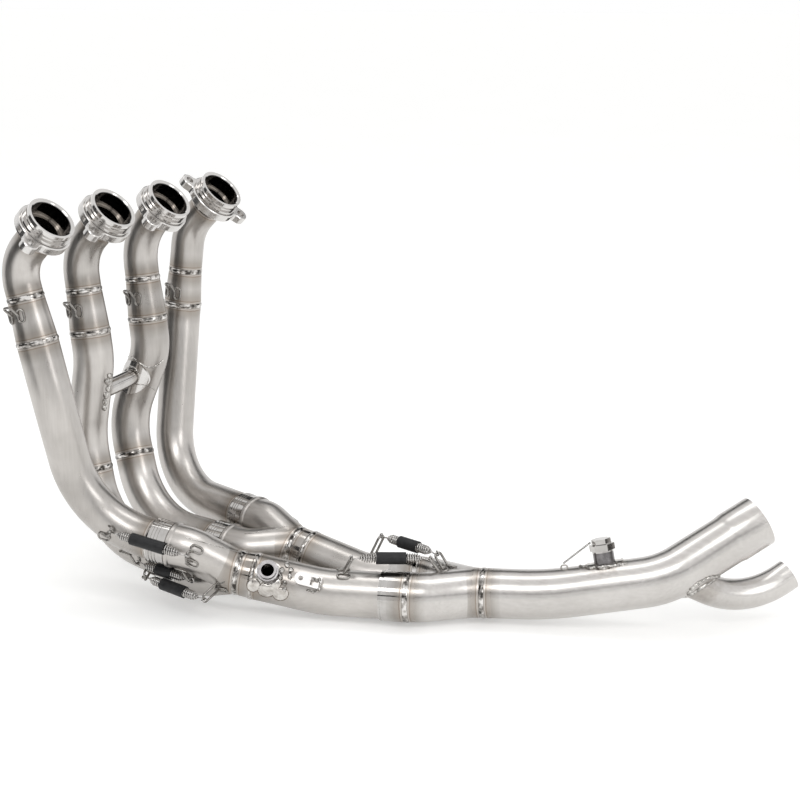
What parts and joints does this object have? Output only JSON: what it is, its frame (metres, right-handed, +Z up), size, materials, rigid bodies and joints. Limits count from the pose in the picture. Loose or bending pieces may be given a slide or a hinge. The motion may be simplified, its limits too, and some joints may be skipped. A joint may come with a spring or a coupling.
{
  "type": "motorcycle exhaust header",
  "caption": "Motorcycle exhaust header whose bent primary tubes merge in pairs through sprung slip joints into one pipe with a small side branch.",
  "frame": {"origin": "centre of the first port's mouth plane, where that spigot enters the cylinder head", "axes": "+X to the rear of the motorcycle, +Y across it from the first port to the fourth, +Z up, as mounted"},
  "size_m": [0.6922, 0.3899, 0.4015],
  "materials": {
    "tube_metal": "satin drawn tube, titanium, with heat tint at the welds",
    "turned_metal": "bright turned titanium",
    "flange_metal": "fine blasted plate",
    "fitting_metal": "bright wire and sheet",
    "wire_metal": "bright drawn wire",
    "rubber_sleeve": "satin black silicone rubber"
  },
  "bodies": {
    "root": {"boss_plug": "turned_metal", "branch_pipe": "tube_metal", "collector": "tube_metal", "crossover_saddle": "turned_metal", "crossover_tube": "tube_metal", "down_tube_1": "tube_metal", "down_tube_2": "tube_metal", "down_tube_3": "tube_metal", "down_tube_4": "tube_metal", "far_inlet_socket": "turned_metal", "far_merge": "tube_metal", "far_reducer": "turned_metal", "far_secondary": "tube_metal", "final_pipe": "tube_metal", "lock_wire": "wire_metal", "lower_bend_2": "tube_metal", "lower_bend_3": "tube_metal", "near_inlet_socket": "turned_metal", "near_merge": "tube_metal", "near_reducer": "turned_metal", "near_secondary": "tube_metal", "plug_boss": "turned_metal", "plug_pad": "fitting_metal", "plug_washer": "turned_metal", "port_flange_1": "flange_metal", "port_flange_2": "flange_metal", "port_flange_3": "flange_metal", "port_flange_4": "flange_metal", "port_ring_1": "turned_metal", "port_ring_2": "turned_metal", "port_ring_3": "turned_metal", "port_ring_4": "turned_metal", "sensor_boss": "turned_metal", "sensor_pad": "fitting_metal", "slip_collar_1": "turned_metal", "slip_collar_2": "turned_metal", "slip_collar_3": "turned_metal", "slip_collar_4": "turned_metal", "spring_1": "wire_metal", "spring_2": "wire_metal", "spring_3": "wire_metal", "spring_4": "wire_metal", "spring_5": "wire_metal", "spring_6": "wire_metal", "spring_7": "wire_metal", "spring_hooks": "fitting_metal", "spring_sleeves": "rubber_sleeve", "step_cone_1": "tube_metal", "step_cone_2": "tube_metal", "step_cone_3": "tube_metal", "step_cone_4": "tube_metal", "tab_bracket": "fitting_metal", "top_bend_1": "tube_metal", "top_bend_2": "tube_metal", "top_bend_3": "tube_metal", "top_bend_4": "tube_metal", "upper_hooks": "fitting_metal", "wire_anchor": "fitting_metal"}
  },
  "joints": []
}
